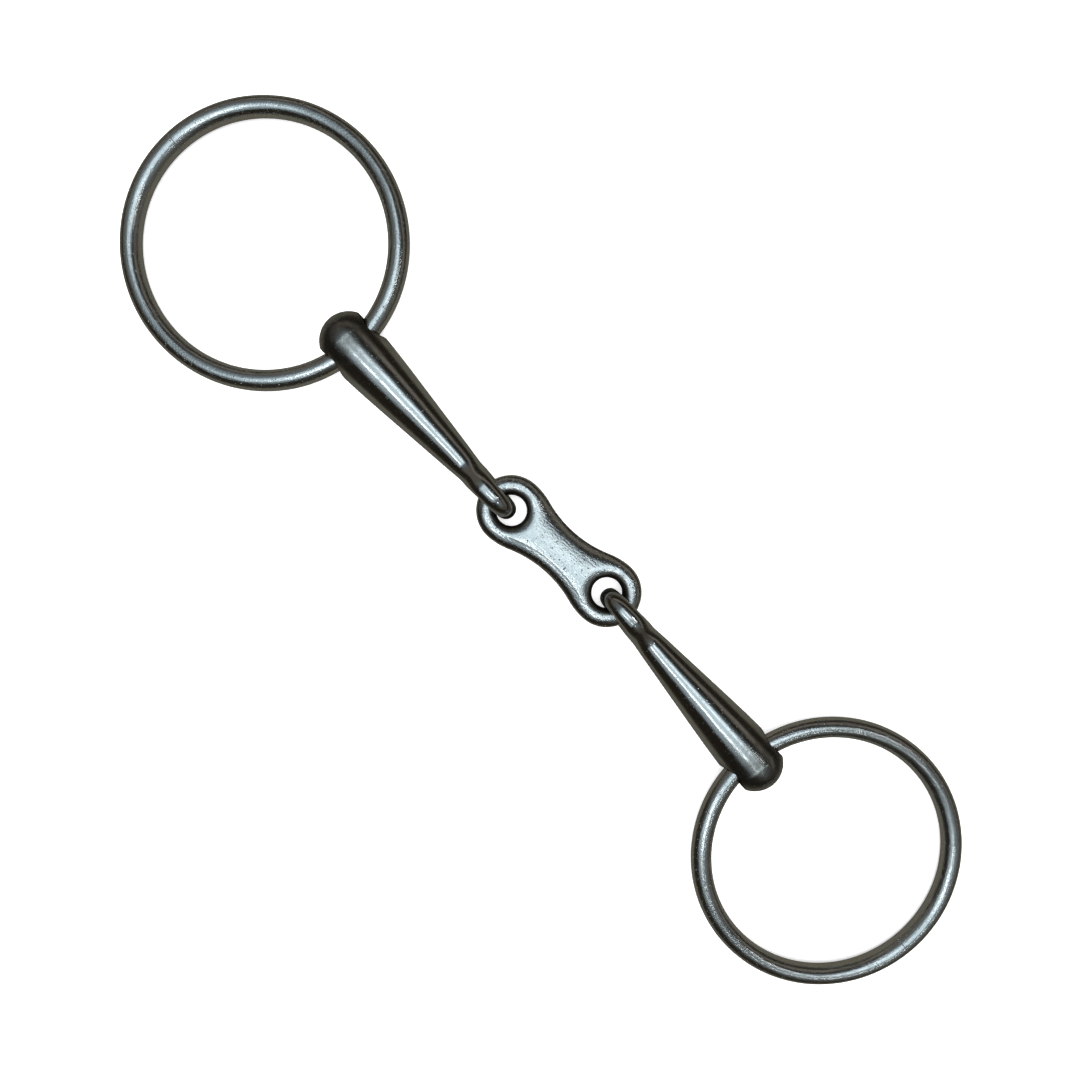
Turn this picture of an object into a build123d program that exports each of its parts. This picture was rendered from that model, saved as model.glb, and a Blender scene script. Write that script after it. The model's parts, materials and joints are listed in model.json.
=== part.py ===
from build123d import *
from math import asin, cos, degrees, pi, radians, sin
import os

# Loose-ring snaffle bit with a French link, lying on a flat surface, in millimetres.
# +X runs along the centre link towards the right cannon, +Z is up from the surface,
# and the origin is on the surface, under the middle of the whole bit.

# Cheek rings
RING_OUTSIDE = 70.2
RING_WIRE = 5.2

# Cannons: round butt with a cross bore, taper, and a loop at the inner end
BUTT_DIAMETER = 14.6
BORE_TO_LOOP = 48.5       # bore axis to the middle of the loop
NOSE_OFFSET = 0.7         # centre of the rounded nose, outboard of the bore axis
BORE_DIAMETER = 8.0
BORE_FLARE = 1.2          # rounding of the bore's two mouths
MID_DIAMETER = 11.2       # taper, 20 mm inboard of the bore
MID_STATION = 20.0
SHANK_DIAMETER = 7.7      # taper, 36 mm inboard of the bore
SHANK_STATION = 36.0
NECK_DIAMETER = 5.0       # where the taper ends inside the loop's bar
LOOP_OUTSIDE = 15.6
LOOP_HOLE = 7.1
LOOP_WIDTH = 5.2
NECK_BLEND = 2.5

# Centre link: a flat plate with an eye at each end and a drawn-in waist
EYE_SPACING = 30.8
EYE_OUTSIDE = 17.2
EYE_HOLE = 7.5
WAIST = 11.9
WAIST_RADIUS = 29.0
LINK_THICKNESS = 4.4
LINK_EDGE = 2.0           # rounding of the outer edges
EYE_EDGE = 1.8            # rounding of the eyes' edges

# How the pieces lie. Headings are compass angles from +X towards +Y, in degrees.
LINK_SIDEWAYS = 1.8       # the link's middle, along +Y from the origin
LINK_HEIGHT = 7.3
CANNON_HEADING = {"left": 173.8, "right": -8.0}
CANNON_ROLL = {"left": 2.0, "right": 4.0}
LOOP_PLAY = {"left": 0.3, "right": 0.7}       # loop centre, outboard of the eye's rim
LOOP_SHIFT = {"left": -0.7, "right": -0.2}   # loop centre, sideways in the eye
RING_HEADING = {"left": 172.2, "right": -9.9}
RING_LEAN = {"left": -1.7, "right": -0.8}
WIRE_SHIFT = 0.4          # ring wire, inboard of the bore axis
WIRE_DROP = {"left": 0.9, "right": 0.75}      # ring wire, below the bore axis

SIDES = {"left": -1, "right": 1}
UP = Vector(0, 0, 1)

ring_radius = (RING_OUTSIDE - RING_WIRE) / 2
butt_radius = BUTT_DIAMETER / 2
loop_radius = LOOP_OUTSIDE / 2
loop_middle = (LOOP_OUTSIDE + LOOP_HOLE) / 4
loop_bar = (LOOP_OUTSIDE - LOOP_HOLE) / 2
rim_middle = (EYE_OUTSIDE + EYE_HOLE) / 4


def heading(angle):
    """Level unit vector at a compass angle."""
    return Vector(cos(radians(angle)), sin(radians(angle)), 0)


def cannon_plane(side):
    """Origin at the bore, x towards the loop, y along the bore, z up."""
    outward = heading(CANNON_HEADING[side])
    sideways = UP.cross(outward) * SIDES[side]
    eye = Vector(SIDES[side] * EYE_SPACING / 2, LINK_SIDEWAYS, 0)
    loop = eye + outward * (rim_middle + LOOP_PLAY[side]) + sideways * LOOP_SHIFT[side]
    bore = loop + outward * BORE_TO_LOOP
    inward = (loop + UP * loop_radius) - (bore + UP * butt_radius)
    lift = inward.cross(UP).cross(inward)
    lift = lift.rotate(Axis((0, 0, 0), inward), CANNON_ROLL[side])
    return Plane(origin=bore + UP * butt_radius, x_dir=inward, z_dir=lift)


def ring_plane(side):
    """Origin at the ring's centre, x towards its far side, z along its axis."""
    bore = cannon_plane(side)
    wire = bore.origin + bore.x_dir * WIRE_SHIFT - UP * WIRE_DROP[side]
    # the pitch that lets the low side of the leaning ring touch the surface
    drop = (wire.Z - RING_WIRE / 2) / ring_radius
    lean = sin(radians(RING_LEAN[side]))
    pitch = degrees(asin((drop * drop - lean * lean) / (2 * drop)))
    outward = heading(RING_HEADING[side])
    far = outward.rotate(Axis((0, 0, 0), UP.cross(outward)), pitch)
    axis = UP.rotate(Axis((0, 0, 0), UP.cross(outward)), pitch)
    axis = axis.rotate(Axis((0, 0, 0), far), RING_LEAN[side])
    return Plane(origin=wire + far * ring_radius, x_dir=far, z_dir=axis)


def make_ring(side):
    """Round wire bent into a closed ring."""
    place = ring_plane(side)
    section = Plane(origin=place.origin, x_dir=place.x_dir, z_dir=place.y_dir)
    with BuildPart() as ring:
        with BuildSketch(section):
            with Locations((ring_radius, 0)):
                Circle(RING_WIRE / 2)
        revolve(axis=Axis(place.origin, place.z_dir))
    ring.part.label = f"{side}_ring"
    return ring.part


def make_cannon(side):
    """Solid arm: nose and taper turned about x, loop turned about the loop's own axis."""
    place = cannon_plane(side)
    loop_centre = place.from_local_coords((BORE_TO_LOOP, 0, 0))
    neck_end = BORE_TO_LOOP - loop_middle
    flare_start = butt_radius - BORE_FLARE
    bore_radius = BORE_DIAMETER / 2
    mouth_radius = bore_radius + BORE_FLARE
    neck_slope = (NECK_DIAMETER - SHANK_DIAMETER) / 2 / (neck_end - SHANK_STATION)

    with BuildPart() as cannon:
        with BuildSketch(place):
            with BuildLine():
                nose = JernArc(
                    start=(-NOSE_OFFSET - butt_radius, 0),
                    tangent=(0, 1),
                    radius=butt_radius,
                    arc_size=-90,
                )
                taper = Spline(
                    nose @ 1,
                    (MID_STATION, MID_DIAMETER / 2),
                    (SHANK_STATION, SHANK_DIAMETER / 2),
                    (neck_end, NECK_DIAMETER / 2),
                    tangents=[(1, 0), (1, neck_slope)],
                )
                end = Line(taper @ 1, (neck_end, 0))
                Line(end @ 1, nose @ 0)
            make_face()
        revolve(axis=Axis(place.origin, place.x_dir))

        with BuildSketch(place):
            with Locations((neck_end, 0)):
                Ellipse(loop_bar / 2, LOOP_WIDTH / 2)
        revolve(axis=Axis(loop_centre, place.y_dir))

        # the seam where the taper runs into the loop is blended
        seam = []
        for edge in cannon.edges():
            station = place.to_local_coords(edge.center()).X
            if neck_end - loop_bar < station < neck_end + 1:
                seam.append(edge)
        fillet(seam, radius=NECK_BLEND)

        # cross bore for the ring, its mouths rounded over
        with BuildSketch(place):
            with BuildLine():
                near = RadiusArc((mouth_radius, -butt_radius), (bore_radius, -flare_start), -BORE_FLARE)
                wall = Line(near @ 1, (bore_radius, flare_start))
                far = RadiusArc(wall @ 1, (mouth_radius, butt_radius), -BORE_FLARE)
                Polyline(far @ 1, (0, butt_radius), (0, -butt_radius), near @ 0)
            make_face()
        revolve(axis=Axis(place.origin, place.y_dir), mode=Mode.SUBTRACT)
    cannon.part.label = f"{side}_cannon"
    return cannon.part


def make_link():
    """Flat plate: waist, shoulder and eye arcs that run into one another."""
    eye_x = EYE_SPACING / 2
    eye_radius = EYE_OUTSIDE / 2
    rise = WAIST / 2 + WAIST_RADIUS - eye_radius
    shoulder_radius = (eye_x**2 + rise**2 - WAIST_RADIUS**2) / (2 * (WAIST_RADIUS - rise))
    turn = degrees(asin(eye_x / (WAIST_RADIUS + shoulder_radius)))

    with BuildPart() as link:
        with BuildSketch(Plane((0, LINK_SIDEWAYS, LINK_HEIGHT))):
            with BuildLine():
                waist = JernArc((0, WAIST / 2), (1, 0), WAIST_RADIUS, turn)
                shoulder = JernArc(waist @ 1, waist % 1, shoulder_radius, -turn)
                JernArc(shoulder @ 1, shoulder % 1, eye_radius, -90)
                mirror(about=Plane.YZ)
                mirror(about=Plane.XZ)
            make_face()
            with Locations((-eye_x, 0), (eye_x, 0)):
                Circle(EYE_HOLE / 2, mode=Mode.SUBTRACT)
        extrude(amount=LINK_THICKNESS / 2, both=True)
        rims = link.edges().group_by(Axis.Z)[0] + link.edges().group_by(Axis.Z)[-1]
        eyes = [edge for edge in rims if abs(edge.length - pi * EYE_HOLE) < 0.01]
        outside = [edge for edge in rims if abs(edge.length - pi * EYE_HOLE) >= 0.01]
        fillet(outside, radius=LINK_EDGE)
        fillet(eyes, radius=EYE_EDGE)
    link.part.label = "french_link"
    return link.part


pieces = [make_link()]
for side in SIDES:
    pieces.append(make_cannon(side))
    pieces.append(make_ring(side))

os.makedirs("parts", exist_ok=True)
for piece in pieces:
    export_step(piece, f"parts/{piece.label}.step")
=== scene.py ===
import json
from math import asin, cos, pi, radians, sin

import bpy
import numpy as np
from mathutils import Matrix, Vector


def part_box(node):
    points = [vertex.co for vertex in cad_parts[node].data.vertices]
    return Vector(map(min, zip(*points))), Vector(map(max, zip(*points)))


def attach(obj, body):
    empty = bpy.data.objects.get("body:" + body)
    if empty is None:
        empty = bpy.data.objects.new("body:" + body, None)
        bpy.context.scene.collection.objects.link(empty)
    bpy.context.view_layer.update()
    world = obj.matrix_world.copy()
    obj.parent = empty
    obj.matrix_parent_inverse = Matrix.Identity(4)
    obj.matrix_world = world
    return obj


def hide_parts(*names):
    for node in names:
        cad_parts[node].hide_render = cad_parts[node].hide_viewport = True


# Polished, lightly worn stainless steel snaffle bit. The CAD frame gives every place: the joints
# give the bores, the mounts give the rings, and the node boxes give the link. Blender replaces
# each node with a finer, softer-edged mesh of the same size. Lengths here are in millimetres
# until a mesh is made.
MM = 0.001

# Cheek rings
RING_RADIUS = 32.5        # middle of the wire
WIRE_RADIUS = 2.6
RING_STEPS = 720          # mesh points round the ring
WIRE_STEPS = 40           # mesh points round the wire
WIRE_WAVES = 5            # the wire is a little out of round, so many times round the ring
WIRE_UNEVENNESS = 0.004   # by this share of its radius

# Cannons, measured from the bore axis towards the loop
BUTT_RADIUS = 7.3
NOSE_CENTRE = -0.7
TAPER_START = 7.64        # radius of the taper's cone carried back to the bore axis
TAPER_SLOPE = 0.105
SHOULDER_BLEND = 1.6
ARM_LENGTH = 48.5         # bore axis to loop centre
LOOP_RADIUS = 5.675       # middle of the loop's bar
LOOP_DEPTH = 2.125        # half of the bar, measured in the loop's plane
LOOP_CROWN = 2.65         # half of the bar across the plane, at the top
LOOP_THINNING = 0.3       # how much narrower the bar is at its far tip
LOOP_FLATTENING = 0.45    # how much lower the loop's top is than a full circle's
NECK_START = 36.0         # from here the arm is thinner than the taper's cone
NECK_THINNING = 0.25      # by this much one run further on, and four times this at two runs
NECK_RUN = 7.0
NECK_LIFT_START = 39.4    # from here the neck grows taller towards the loop
NECK_LIFT = 0.69          # by this much for each millimetre along
NECK_LIFT_EASE = 1.0
NECK_BLEND = 1.4          # rounding where the neck runs into the loop
ARM_END = 46.2            # where the arm stops, inside the loop's bar
ARM_END_BLEND = 2.0
HOLE_RELEASE = 2.0        # what keeps the hole open fades this fast beyond the bar's middle
BORE_RADIUS = 3.95
MOUTH_BLEND = 1.1

# Centre link
EYE_X = 15.4
EYE_OUTSIDE = 8.6
EYE_HOLE = 3.75
WAIST_HALF = 5.95
WAIST_RADIUS = 29.0
LINK_HALF = 2.2
WAIST_ROUNDING = 2.6      # how far in the outer edges are rolled over, at the waist
RIM_ROUNDING = 4.4        # the same at the eyes
HOLE_ROUNDING = 3.4       # the same round the eyes' holes
ROUNDING_POWER = 2.2
CROWN_RADIUS = 22.0       # the plate's two faces are slightly domed across, between the eyes
CROWN_Y = -1.6            # the dome's highest line
CROWN_REACH = 11.0        # how far along the plate it goes each way
STEP_INSET = 2.75         # faint step along the -Y edge
STEP_DROP = 0.10
STEP_WIDTH = 0.22
STEP_FADE = 0.5           # it fades out about this far to each side of the plate's middle line

CANNON_SPACING = 0.32     # between mesh points
LINK_SPACING = 0.19
GRADIENT_STEP = 0.01
PULL_ROUNDS = 3
RELAX_ROUNDS = 8
RELAX_SHARE = 0.6         # how far each point moves towards the middle of its neighbours
TINY = 1e-6               # keeps a division away from zero

# Dirt with painted shade: how far it spreads from a hole's edge, and how much painted shade darkens
# the whole butt
BORE_DIRT_SHADE_REACH = 1.6
LOOP_DIRT_SHADE_REACH = 1.4
EYE_DIRT_SHADE_REACH = 2.4
BUTT_SHADE = 0.42
BUTT_SHADE_START = 1.0     # it fades inboard from here
BUTT_SHADE_REACH = 13.0

# Steel: a piece's brightness, roughness and wear
CANNON_STEEL = (0.66, 0.09, 0.6)
RING_STEEL = (0.76, 0.16, 1.7)
LINK_STEEL = (0.75, 0.11, 2.0)

# Steel: lumps per millimetre, and depths in millimetres
WAVE_SCALE = 0.16
WAVE_DEPTH = 0.08
PEEL_SCALE = 2.4
PEEL_DEPTH = 0.022
SCRATCH_SCALE = 3.2
SCRATCH_STRETCH = 14.0
SCRATCH_DEPTH = 0.018
PIT_DEPTH = 0.05
BIG_PITS = (0.9, 0.22, 0.4)     # cells per millimetre, pit radius, share of cells with a pit
SMALL_PITS = (2.0, 0.12, 0.5)
BLOTCH_SCALE = 0.45

# Steel: colours, and how blotches and grime with painted shade change them and the roughness
CLEAN_TINT = (1, 0.985, 0.95)
BLOTCH_TINT = (0.86, 0.85, 0.81)
# dark grime colour, also used as painted shade round the holes and over the butts
GRIME_SHADE_COLOUR = (0.12, 0.10, 0.075, 1)
GRIME_SHADE_BLOTCHES = 0.4
GRIME_SHADE_START = 0.25
GRIME_SHADE_END = 0.95
GRIME_SHADE_ROUGHNESS = 0.24
DULL_START = 0.35
DULL_END = 0.7
DULL_ROUGHNESS = 0.07

# The room round the bit: soft-edged panels of light on dark walls. A panel's place and size are
# tilts from straight up, in degrees, towards +X and towards +Y.
COOL = (0.72, 0.92, 1.05)
WHITE = (0.92, 1.0, 1.02)
WARM = (1.0, 0.96, 0.86)
PANELS = (
    # middle x, half, edge, middle y, half, edge, brightness, colour
    (-1, 21, 16, -1, 20, 6, 0.80, COOL),         # ceiling panel
    (4, 15, 10, -16.5, 2.2, 1.5, 3.00, WHITE),   # narrow lamp
    (8, 16, 12, 9, 3.5, 6, 0.90, WHITE),         # broad lamp
    (-3, 27, 16, -32, 10, 13, 0.36, COOL),       # their glow on the ceiling
    (-14, 9, 10, -26, 7, 10, 0.30, COOL),        # window light
    (4, 52, 30, -2, 27, 24, 0.18, COOL),         # glow along the room
    (0, 80, 20, 56, 9, 14, 0.16, WARM),          # pale wall
    (-66, 18, 24, 0, 50, 30, 0.09, WARM),        # side walls
    (68, 18, 24, 0, 50, 30, 0.06, WARM),
    (24, 1.5, 2, 22, 1.5, 2, 9, WHITE),          # small ceiling lamps
    (30, 1.5, 2, 27, 1.5, 2, 9, WHITE),
    (37, 1.5, 2, -9, 1.5, 2, 9, WHITE),
)
WALL_COLOUR = (0.018, 0.0155, 0.011, 1)
PURE_WHITE = (1, 1, 1, 1)

# Floor and its lamp, in metres
FLOOR_HALF = 3.0
FLOOR_COLOUR = (0.9, 0.9, 0.9, 1)
FLOOR_GLOW = 0.55
BENCH_COLOUR = (0.085, 0.080, 0.063, 1)
BENCH_NEAR = 0.025        # distances from the steel between which the bench is lost in the dark
BENCH_FAR = 0.08
LAMP_SIZE = 1.6
LAMP_HEIGHT = 1.5
LAMP_POWER = 40

# Camera, in metres and degrees
CAMERA_BACK = (-0.0615, 0.0315, 1)       # from what it looks at towards the camera
CAMERA_TARGET = (0, 0.0018, 0.005)
CAMERA_DISTANCE = 0.23765
CAMERA_ROLL = -40.76
CAMERA_LENS = 32.11
CAMERA_SENSOR = 36
CAMERA_SHIFT_X = -0.0176
CAMERA_SHIFT_Y = 0.0102
CAMERA_CLIP_START = 0.01
CAMERA_CLIP_END = 20

SIDES = ("left", "right")
UP = Vector((0, 0, 1))


def smooth_min(a, b, blend):
    """Union of two fields with a rounded seam about as wide as blend."""
    near = np.maximum(blend - np.abs(a - b), 0.0) / blend
    return np.minimum(a, b) - near ** 3 * blend / 6


def smooth_max(a, b, blend):
    """Overlap of two fields with a rounded seam."""
    return -smooth_min(-a, -b, blend)


def gradient(field, points):
    """Numerical gradient of a field at each point."""
    slopes = []
    for axis in range(3):
        shift = np.zeros(3)
        shift[axis] = GRADIENT_STEP
        rise = field(points + shift) - field(points - shift)
        slopes.append(rise / (2 * GRADIENT_STEP))
    return np.stack(slopes, axis=1)


def pull(field, points, rounds=PULL_ROUNDS):
    """Moves points along the gradient onto the field's zero surface."""
    for _ in range(rounds):
        slope = gradient(field, points)
        square = np.maximum((slope ** 2).sum(axis=1), TINY)
        points = points - slope * (field(points) / square)[:, None]
    return points


def relax(field, points, quads):
    """Evens out the quads by averaging neighbours, staying on the surface."""
    edges = np.concatenate([quads[:, [i, (i + 1) % 4]] for i in range(4)])
    count = np.bincount(edges[:, 0], minlength=len(points))
    for _ in range(RELAX_ROUNDS):
        total = np.zeros_like(points)
        for axis in range(3):
            total[:, axis] = np.bincount(edges[:, 0], points[edges[:, 1], axis], len(points))
        points = pull(field, points + RELAX_SHARE * (total / count[:, None] - points), rounds=1)
    return pull(field, points)


def skin(field, low, high, step):
    """Closed quad mesh of the surface where the field is zero (surface nets)."""
    axes = [np.arange(a - 2 * step, b + 3 * step, step) for a, b in zip(low, high)]
    grid = np.stack(np.meshgrid(*axes, indexing="ij"), axis=-1)
    inside = field(grid.reshape(-1, 3)).reshape(grid.shape[:3]) < 0
    corners = sum(
        inside[i:i - 1 or None, j:j - 1 or None, k:k - 1 or None].astype(int)
        for i in (0, 1) for j in (0, 1) for k in (0, 1)
    )
    mixed = (corners > 0) & (corners < 8)
    number = np.full(mixed.shape, -1)
    number[mixed] = np.arange(mixed.sum())
    points = grid[:-1, :-1, :-1][mixed] + step / 2
    quads = []
    for axis in range(3):
        one = np.eye(3, dtype=int)[(axis + 1) % 3]
        two = np.eye(3, dtype=int)[(axis + 2) % 3]
        here = np.moveaxis(np.moveaxis(inside, axis, 0)[:-1], 0, axis)
        there = np.moveaxis(np.moveaxis(inside, axis, 0)[1:], 0, axis)
        crossing = np.argwhere(here != there)
        outward = here[tuple(crossing.T)]
        ring = [crossing, crossing - one, crossing - one - two, crossing - two]
        quad = np.stack([number[tuple(cell.T)] for cell in ring], axis=1)
        quad[~outward] = quad[~outward][:, ::-1]
        quads.append(quad)
    quads = np.concatenate(quads)
    points = pull(field, points)
    return relax(field, points, quads), quads


def arm_field(points):
    """Nose and taper, turned about x, then a neck that grows taller with a half-round top."""
    x, y, z = points.T
    past = x - NECK_LIFT_START
    lift = NECK_LIFT * (past + np.hypot(past, NECK_LIFT_EASE)) / 2
    across = np.hypot(y, np.maximum(np.abs(z) - lift, 0))
    cone = TAPER_START - TAPER_SLOPE * x
    radius = smooth_min(np.full_like(x, BUTT_RADIUS), cone, SHOULDER_BLEND)
    radius = radius - NECK_THINNING * np.clip((x - NECK_START) / NECK_RUN, 0, 2) ** 2
    side = (across - radius) * cos(TAPER_SLOPE)
    nose = np.hypot(across, x - NOSE_CENTRE) - BUTT_RADIUS
    arm = np.where(x < NOSE_CENTRE, nose, side)
    return smooth_max(arm, x - ARM_END, ARM_END_BLEND)


def loop_fields(points):
    """Bar bent into a closed loop about an axis along y, the same with its hole filled, and how
    far each point is beyond the bar's middle line."""
    x, y, z = (points - np.array([ARM_LENGTH, 0, 0])).T
    angle = np.arctan2(z, x)
    width = LOOP_CROWN - LOOP_THINNING * np.cos(angle)
    beyond = np.hypot(x, z) - LOOP_RADIUS + LOOP_FLATTENING * np.sin(angle) ** 4
    u, v = beyond / LOOP_DEPTH, y / width
    first = np.hypot(u, v)
    second = np.maximum(np.hypot(u / LOOP_DEPTH, v / width), TINY)
    bar = first * (first - 1) / second
    disc = np.where(beyond < 0, np.abs(y) - width, bar)
    return bar, disc, beyond


def cannon_field(points):
    """Arm and loop blended into a smooth neck, with the loop's hole and the cross bore taken out."""
    bar, disc, beyond = loop_fields(points)
    solid = smooth_min(arm_field(points), disc, NECK_BLEND)
    solid = np.maximum(solid, bar - HOLE_RELEASE * np.maximum(beyond, 0))
    bore = BORE_RADIUS - np.hypot(points[:, 0], points[:, 2])
    return smooth_max(solid, bore, MOUTH_BLEND)


def outline_distance(x, y):
    """Distance from the link's outline, negative inside: eye, shoulder and waist arcs."""
    x, y = np.abs(x), np.abs(y)
    waist_y = WAIST_HALF + WAIST_RADIUS
    rise = waist_y - EYE_OUTSIDE
    shoulder = (EYE_X ** 2 + rise ** 2 - WAIST_RADIUS ** 2) / (2 * (WAIST_RADIUS - rise))
    shoulder_y = EYE_OUTSIDE - shoulder
    eye = np.hypot(x - EYE_X, y) - EYE_OUTSIDE
    bulge = np.hypot(x - EYE_X, y - shoulder_y) - shoulder
    waist = WAIST_RADIUS - np.hypot(x, waist_y - y)
    past = x * (waist_y - shoulder_y) - EYE_X * (waist_y - y)
    return np.where(x > EYE_X, eye, np.where(past > 0, bulge, waist))


def link_field(points):
    """Plate with two eyes, slightly domed, with a faint step, every edge rolled over softly."""
    x, y, z = points.T
    outline = outline_distance(x, y)
    near_eye = np.minimum(np.abs(x) / EYE_X, 1) ** 3
    rounding = WAIST_ROUNDING + (RIM_ROUNDING - WAIST_ROUNDING) * near_eye
    outer = np.maximum(outline / rounding + 1, 0)
    hole = EYE_HOLE - np.hypot(np.abs(x) - EYE_X, y)
    inner = np.maximum(hole / HOLE_ROUNDING + 1, 0)
    crown = (y - CROWN_Y) ** 2 / (2 * CROWN_RADIUS) * np.exp(-(x / CROWN_REACH) ** 4)
    edge = 1 + np.tanh((outline + STEP_INSET) / STEP_WIDTH)
    step = STEP_DROP * edge * (1 - np.tanh(y / STEP_FADE)) / 4
    flat = np.abs(z) / np.maximum(LINK_HALF - crown - step, TINY)
    power = ROUNDING_POWER
    return ((outer ** power + inner ** power + flat ** power) ** (1 / power) - 1) * LINK_HALF


def make_piece(node, shape, place, material):
    """Mesh object from a shape in local millimetres, standing in for the CAD node of a body."""
    name = f"{node}_steel"
    points, quads, grain, dirt_and_shade = shape
    matrix = np.array(place)
    placed = points @ matrix[:3, :3].T * MM + matrix[:3, 3]
    mesh = bpy.data.meshes.new(name)
    mesh.from_pydata(placed.tolist(), [], quads.tolist())
    mesh.polygons.foreach_set("use_smooth", [True] * len(quads))
    mesh.attributes.new("grain", "FLOAT_VECTOR", "POINT").data.foreach_set("vector", grain.ravel())
    # per-point share of grime and painted shade, read by the steel material
    mesh.attributes.new("dirt_and_shade", "FLOAT", "POINT").data.foreach_set("value", dirt_and_shade)
    mesh.materials.append(material)
    mesh.update()
    piece = bpy.data.objects.new(name, mesh)
    bpy.context.scene.collection.objects.link(piece)
    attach(piece, node)
    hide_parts(node)


def place_matrix(origin, x, z):
    """Frame with the given x, and z as near as it can be to the one given."""
    x = x.normalized()
    y = z.cross(x).normalized()
    z = x.cross(y)
    matrix = Matrix((x, y, z)).transposed().to_4x4()
    matrix.translation = origin
    return matrix


def joint(name):
    """The frame's joint of that name."""
    return next(j for j in frame["joints"] if j["name"] == name)


def mount(name):
    """The record's mount of that name."""
    return next(m for m in frame["record"]["mounts"] if m["name"] == name)


def cannon_place(side):
    """Origin at the bore, x towards the loop, y along the bore."""
    swing = joint(f"{side}_ring_swing")
    bore = Vector(swing["pos_m"])
    along = Vector(swing["axis"])
    level = along.cross(UP)
    if level.dot(-bore) < 0:
        along = -along
        level = -level
    up = level.cross(along).normalized()
    climb = (LOOP_RADIUS + LOOP_DEPTH) * MM - bore.z
    tilt = asin(climb / (ARM_LENGTH * MM) / up.z)
    inward = level.normalized() * cos(tilt) + up * sin(tilt)
    return place_matrix(bore, inward, inward.cross(along))


def ring_place(side):
    """Origin at the ring's centre, x away from the bore, z along its axis."""
    centre = Vector(mount(f"{side}_ring_eye")["pos_m"])
    axis = Vector(mount(f"{side}_ring_eye")["axis"])
    outward = centre - Vector(joint(f"{side}_ring_swing")["pos_m"])
    return place_matrix(centre, outward - axis * outward.dot(axis), axis)


def link_place():
    """Origin in the middle of the link's box."""
    low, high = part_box("french_link")
    return Matrix.Translation((low + high) / 2)


def closeness(distance, reach):
    """1 at no distance, falling to 0 at the reach."""
    return np.clip(1 - distance / reach, 0, 1)


def cannon_shape():
    """Cannon with its grain along x, dirt with painted shade in the bore and in the loop, and
    painted shade all over the butt.
    """
    low = (NOSE_CENTRE - BUTT_RADIUS, -BUTT_RADIUS, -LOOP_RADIUS - LOOP_DEPTH)
    high = (ARM_LENGTH + LOOP_RADIUS + LOOP_DEPTH, BUTT_RADIUS, LOOP_RADIUS + LOOP_DEPTH)
    points, quads = skin(cannon_field, low, high, CANNON_SPACING)
    x, y, z = points.T
    # dirt with painted shade: darker in the bore and its mouths, and in the loop's hole where the
    # link sits
    bore = closeness(np.hypot(x, z) - BORE_RADIUS, BORE_DIRT_SHADE_REACH)
    loop = closeness(np.hypot(x - ARM_LENGTH, z) - LOOP_RADIUS + LOOP_DEPTH, LOOP_DIRT_SHADE_REACH)
    # painted shade: the whole butt is made darker and duller, fading inboard
    butt_shade = BUTT_SHADE * closeness(np.maximum(x - BUTT_SHADE_START, 0), BUTT_SHADE_REACH)
    return points, quads, points, np.maximum(butt_shade, np.maximum(bore, loop))


def link_shape():
    """Link with its grain along x, and dirt with painted shade round the two eyes."""
    corner = np.array([EYE_X + EYE_OUTSIDE, EYE_OUTSIDE, LINK_HALF])
    points, quads = skin(link_field, -corner, corner, LINK_SPACING)
    from_hole = np.hypot(np.abs(points[:, 0]) - EYE_X, points[:, 1]) - EYE_HOLE
    # dirt with painted shade: darker round the eyes' holes
    return points, quads, points, closeness(from_hole, EYE_DIRT_SHADE_REACH)


def ring_shape():
    """Round wire bent into a ring, a little uneven. Its grain runs round the ring."""
    turn = np.arange(RING_STEPS) * 2 * pi / RING_STEPS
    angle = np.arange(WIRE_STEPS) * 2 * pi / WIRE_STEPS
    turn, angle = np.meshgrid(turn, angle, indexing="ij")
    wave = WIRE_UNEVENNESS * np.sin(WIRE_WAVES * turn + 1) * np.cos(2 * angle)
    wire = WIRE_RADIUS * (1 + wave)
    across = wire * np.cos(angle)
    height = wire * np.sin(angle)
    out = RING_RADIUS + across
    points = np.stack([out * np.cos(turn), out * np.sin(turn), height], axis=-1)
    grain = np.stack([RING_RADIUS * turn, across, height], axis=-1)
    number = np.arange(RING_STEPS * WIRE_STEPS).reshape(RING_STEPS, WIRE_STEPS)
    ahead = np.roll(number, -1, axis=0)
    beside = np.roll(number, -1, axis=1)
    corner = np.roll(ahead, -1, axis=1)
    quads = np.stack([number, ahead, corner, beside], axis=-1)
    grain = grain.reshape(-1, 3)
    return points.reshape(-1, 3), quads.reshape(-1, 4), grain, np.zeros(len(grain))


def make_camera():
    """Camera at the photograph's viewing angle."""
    data = bpy.data.cameras.new("camera")
    camera = bpy.data.objects.new("camera", data)
    bpy.context.scene.collection.objects.link(camera)
    back = Vector(CAMERA_BACK).normalized()
    level = Vector((1, 0, 0)) - back * back.x
    level.normalize()
    above = back.cross(level)
    roll = radians(CAMERA_ROLL)
    right = level * cos(roll) - above * sin(roll)
    up = level * sin(roll) + above * cos(roll)
    matrix = Matrix((right, up, back)).transposed().to_4x4()
    matrix.translation = Vector(CAMERA_TARGET) + back * CAMERA_DISTANCE
    camera.matrix_world = matrix
    data.lens = CAMERA_LENS
    data.sensor_width = CAMERA_SENSOR
    data.shift_x = CAMERA_SHIFT_X
    data.shift_y = CAMERA_SHIFT_Y
    data.clip_start = CAMERA_CLIP_START
    data.clip_end = CAMERA_CLIP_END
    bpy.context.scene.camera = camera


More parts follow.
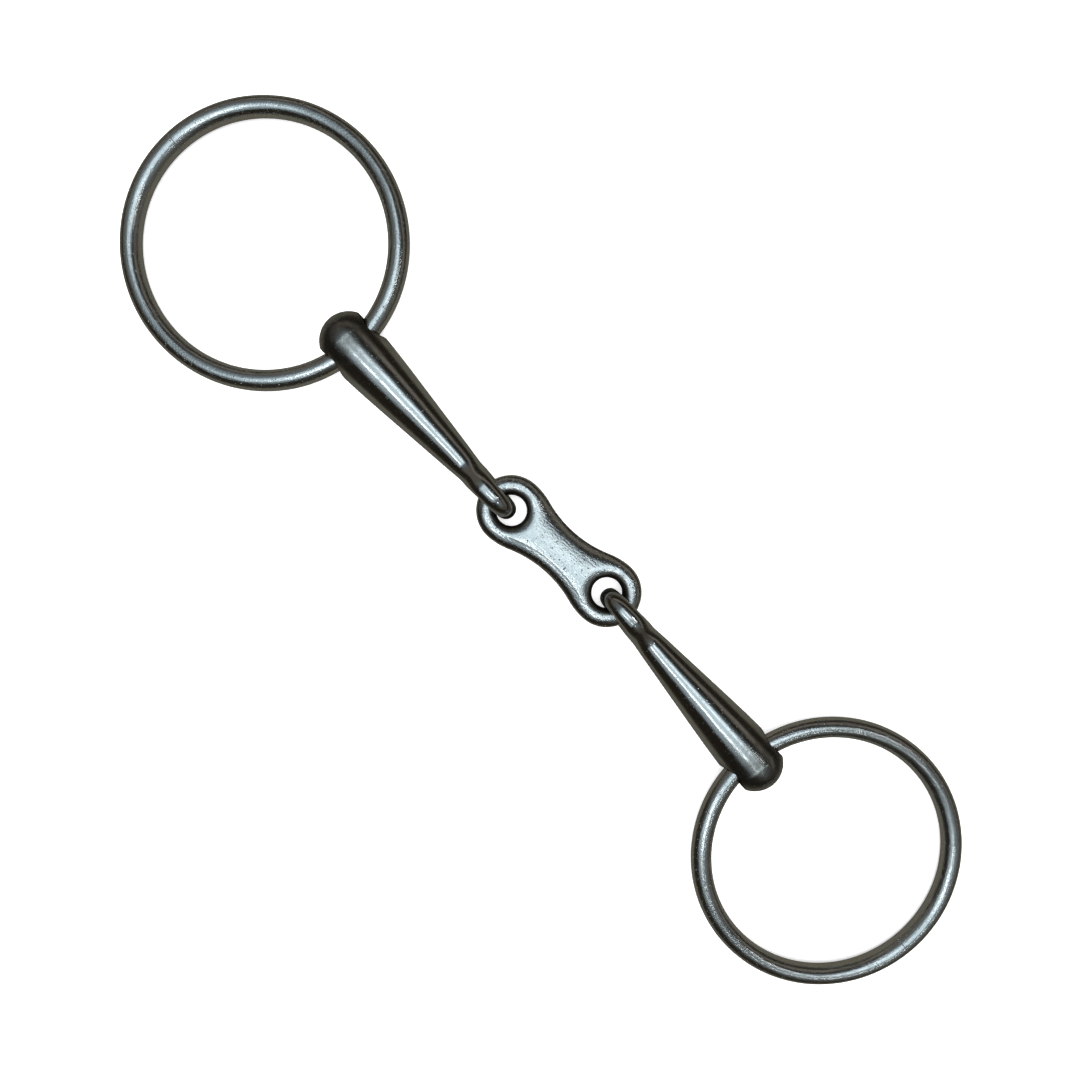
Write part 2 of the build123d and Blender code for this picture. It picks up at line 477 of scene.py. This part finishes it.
def make_floor():
    """Pale floor to the camera; in the steel it shows as a darker bench."""
    mesh = bpy.data.meshes.new("floor")
    signs = ((-1, -1), (1, -1), (1, 1), (-1, 1))
    corners = [(x * FLOOR_HALF, y * FLOOR_HALF, 0) for x, y in signs]
    mesh.from_pydata(corners, [], [(0, 1, 2, 3)])
    floor = bpy.data.objects.new("floor", mesh)
    bpy.context.scene.collection.objects.link(floor)
    material = bpy.data.materials.new("floor")
    material.use_nodes = True
    tree = material.node_tree
    tree.nodes.clear()

    # to the camera: white with weak shadows
    white = add(tree, "ShaderNodeBsdfDiffuse", Color=FLOOR_COLOUR)
    glow = add(tree, "ShaderNodeEmission", Strength=FLOOR_GLOW)
    pale = add(tree, "ShaderNodeAddShader")
    tree.links.new(white.outputs[0], pale.inputs[0])
    tree.links.new(glow.outputs[0], pale.inputs[1])

    # in the steel: a brownish bench under the bit that is lost in the dark further off
    path = add(tree, "ShaderNodeLightPath")
    far = ramp(tree, path.outputs["Ray Length"], BENCH_NEAR, BENCH_FAR)
    colour = blend(tree, far, BENCH_COLOUR, WALL_COLOUR)
    bench = add(tree, "ShaderNodeBsdfDiffuse")
    tree.links.new(colour, bench.inputs["Color"])

    mix = add(tree, "ShaderNodeMixShader")
    tree.links.new(path.outputs["Is Glossy Ray"], mix.inputs[0])
    tree.links.new(pale.outputs[0], mix.inputs[1])
    tree.links.new(bench.outputs[0], mix.inputs[2])
    out = add(tree, "ShaderNodeOutputMaterial")
    tree.links.new(mix.outputs[0], out.inputs[0])
    mesh.materials.append(material)


def make_floor_light():
    """Large soft lamp for the floor and its shadows. The steel shows only the room."""
    light = bpy.data.lights.new("floor_light", "AREA")
    light.shape = "DISK"
    light.size = LAMP_SIZE
    light.energy = LAMP_POWER
    lamp = bpy.data.objects.new("floor_light", light)
    lamp.location = (0, 0, LAMP_HEIGHT)
    lamp.visible_glossy = False
    bpy.context.scene.collection.objects.link(lamp)


def add(tree, kind, **values):
    """New node with the named inputs set."""
    node = tree.nodes.new(kind)
    for name, value in values.items():
        node.inputs[name].default_value = value
    return node


def plug(tree, value, socket):
    """Joins an output to an input, or sets the input to a plain value."""
    if isinstance(value, bpy.types.NodeSocket):
        tree.links.new(value, socket)
    else:
        socket.default_value = value


def maths(tree, operation, first, second=0.0):
    """Output of a maths node."""
    node = tree.nodes.new("ShaderNodeMath")
    node.operation = operation
    plug(tree, first, node.inputs[0])
    plug(tree, second, node.inputs[1])
    return node.outputs[0]


def vector_maths(tree, operation, first, second, socket=1):
    """Output of a vector maths node, the second value going to the socket named."""
    node = tree.nodes.new("ShaderNodeVectorMath")
    node.operation = operation
    plug(tree, first, node.inputs[0])
    plug(tree, second, node.inputs[socket])
    return node.outputs[0]


def ramp(tree, value, start, end, low=0.0, high=1.0):
    """Smooth step of a value from low at the start to high at the end."""
    node = tree.nodes.new("ShaderNodeMapRange")
    node.interpolation_type = "SMOOTHSTEP"
    plug(tree, value, node.inputs["Value"])
    node.inputs["From Min"].default_value = start
    node.inputs["From Max"].default_value = end
    node.inputs["To Min"].default_value = low
    node.inputs["To Max"].default_value = high
    return node.outputs[0]


def blend(tree, share, first, second):
    """Colour part of the way from the first to the second."""
    node = tree.nodes.new("ShaderNodeMix")
    node.data_type = "RGBA"
    # a mix node has sockets for every type of value: these three are the colours
    first_colour, second_colour, mixed_colour = node.inputs[6], node.inputs[7], node.outputs[2]
    plug(tree, share, node.inputs["Factor"])
    plug(tree, first, first_colour)
    plug(tree, second, second_colour)
    return mixed_colour


def span(tree, tilt, middle, half, edge):
    """1 where a tilt is within a half width of the middle, with a soft edge."""
    distance = maths(tree, "ABSOLUTE", maths(tree, "SUBTRACT", tilt, radians(middle)))
    return ramp(tree, distance, radians(half + edge / 2), radians(half - edge / 2))


def make_room():
    """World light: the panels over the wall colour. The camera itself sees plain white."""
    world = bpy.data.worlds.new("room")
    bpy.context.scene.world = world
    world.use_nodes = True
    tree = world.node_tree
    split = add(tree, "ShaderNodeSeparateXYZ")
    tree.links.new(add(tree, "ShaderNodeTexCoord").outputs["Generated"], split.inputs[0])
    x, y, z = split.outputs
    tilt_x = maths(tree, "ARCTAN2", x, z)
    tilt_y = maths(tree, "ARCTAN2", y, z)

    total = WALL_COLOUR[:3]
    for middle_x, half_x, edge_x, middle_y, half_y, edge_y, brightness, colour in PANELS:
        across = span(tree, tilt_x, middle_x, half_x, edge_x)
        along = span(tree, tilt_y, middle_y, half_y, edge_y)
        shape = maths(tree, "MULTIPLY", across, along)
        tint = [brightness * part for part in colour]
        panel = vector_maths(tree, "SCALE", tint, shape, socket="Scale")
        total = vector_maths(tree, "ADD", panel, total)
    seen = add(tree, "ShaderNodeLightPath").outputs["Is Camera Ray"]
    colour = blend(tree, seen, total, PURE_WHITE)
    tree.links.new(colour, tree.nodes["Background"].inputs["Color"])


def noise(tree, coordinates, scale, detail=2.0, stretch=1.0):
    """Noise with so many lumps per millimetre, stretched along the grain."""
    mapping = add(tree, "ShaderNodeMapping", Scale=(scale / stretch, scale, scale))
    tree.links.new(coordinates, mapping.inputs["Vector"])
    node = add(tree, "ShaderNodeTexNoise", Scale=1.0, Detail=detail)
    tree.links.new(mapping.outputs[0], node.inputs["Vector"])
    return node.outputs["Fac"]


def pits(tree, coordinates, scale, size, share):
    """1 in small round pits scattered at random, 0 between them."""
    cells = add(tree, "ShaderNodeTexVoronoi", Scale=scale)
    tree.links.new(coordinates, cells.inputs["Vector"])
    split = add(tree, "ShaderNodeSeparateXYZ")
    tree.links.new(cells.outputs["Color"], split.inputs[0])
    chosen = maths(tree, "LESS_THAN", split.outputs[0], share)
    depth = ramp(tree, cells.outputs["Distance"], size * scale, 0.0)
    return maths(tree, "MULTIPLY", depth, chosen)


def bump(tree, height, depth, before=None):
    """Normal of a surface raised by the height, its depth in millimetres."""
    node = add(tree, "ShaderNodeBump", Strength=1.0, Distance=depth * MM)
    tree.links.new(height, node.inputs["Height"])
    if before is not None:
        tree.links.new(before, node.inputs["Normal"])
    return node.outputs[0]


def steel(name, brightness, roughness, wear):
    """Polished stainless steel, worn: wavy, finely scratched and pitted, with dirt and painted shade
    in its hollows and painted shade on the butts.
    """
    material = bpy.data.materials.new(name)
    material.use_nodes = True
    tree = material.node_tree
    shader = tree.nodes["Principled BSDF"]
    shader.inputs["Metallic"].default_value = 1
    grain = add(tree, "ShaderNodeAttribute")
    grain.attribute_name = "grain"
    grain = grain.outputs["Vector"]
    dirt_and_shade = add(tree, "ShaderNodeAttribute")
    dirt_and_shade.attribute_name = "dirt_and_shade"
    dirt_and_shade = dirt_and_shade.outputs["Fac"]

    waves = noise(tree, grain, WAVE_SCALE, detail=1.0)
    blotches = noise(tree, grain, BLOTCH_SCALE, detail=4.0)
    peel = noise(tree, grain, PEEL_SCALE, detail=2.0)
    scratches = noise(tree, grain, SCRATCH_SCALE, detail=3.0, stretch=SCRATCH_STRETCH)
    big_pits = pits(tree, grain, *BIG_PITS)
    small_pits = pits(tree, grain, *SMALL_PITS)
    unpitted = maths(tree, "SUBTRACT", 1.0, maths(tree, "MAXIMUM", big_pits, small_pits))

    normal = bump(tree, waves, WAVE_DEPTH)
    normal = bump(tree, peel, PEEL_DEPTH * wear, normal)
    normal = bump(tree, scratches, SCRATCH_DEPTH * wear, normal)
    normal = bump(tree, unpitted, PIT_DEPTH * wear, normal)
    tree.links.new(normal, shader.inputs["Normal"])

    clean_colour = [brightness * part for part in CLEAN_TINT] + [1]
    blotch_colour = [brightness * part for part in BLOTCH_TINT] + [1]
    metal = blend(tree, blotches, clean_colour, blotch_colour)
    # grime and painted shade: the per-point attribute, with some blotches, blends in the dark colour
    # and adds roughness
    spread = maths(tree, "ADD", dirt_and_shade, maths(tree, "MULTIPLY", blotches, GRIME_SHADE_BLOTCHES))
    grime_and_shade = ramp(tree, spread, GRIME_SHADE_START, GRIME_SHADE_END)
    tree.links.new(blend(tree, grime_and_shade, metal, GRIME_SHADE_COLOUR), shader.inputs["Base Color"])

    dull = ramp(tree, blotches, DULL_START, DULL_END, roughness, roughness + DULL_ROUGHNESS)
    dull = maths(tree, "ADD", dull, maths(tree, "MULTIPLY", grime_and_shade, GRIME_SHADE_ROUGHNESS))
    tree.links.new(dull, shader.inputs["Roughness"])
    return material


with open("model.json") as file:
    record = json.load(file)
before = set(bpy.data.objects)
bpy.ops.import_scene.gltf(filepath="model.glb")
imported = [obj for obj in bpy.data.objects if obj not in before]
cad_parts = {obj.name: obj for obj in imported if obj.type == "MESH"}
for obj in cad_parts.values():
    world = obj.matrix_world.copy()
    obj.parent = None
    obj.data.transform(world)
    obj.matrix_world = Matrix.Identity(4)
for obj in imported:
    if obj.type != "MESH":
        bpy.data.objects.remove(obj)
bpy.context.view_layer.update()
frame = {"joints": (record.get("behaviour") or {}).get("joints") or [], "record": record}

make_camera()
make_floor()
make_floor_light()
make_room()
bpy.context.scene.view_settings.view_transform = "Standard"

cannon = cannon_shape()
ring = ring_shape()
cannon_steel = steel("cannon_steel", *CANNON_STEEL)
ring_steel = steel("ring_steel", *RING_STEEL)
for side in SIDES:
    make_piece(f"{side}_cannon", cannon, cannon_place(side), cannon_steel)
    make_piece(f"{side}_ring", ring, ring_place(side), ring_steel)
link_steel = steel("link_steel", *LINK_STEEL)
make_piece("french_link", link_shape(), link_place(), link_steel)
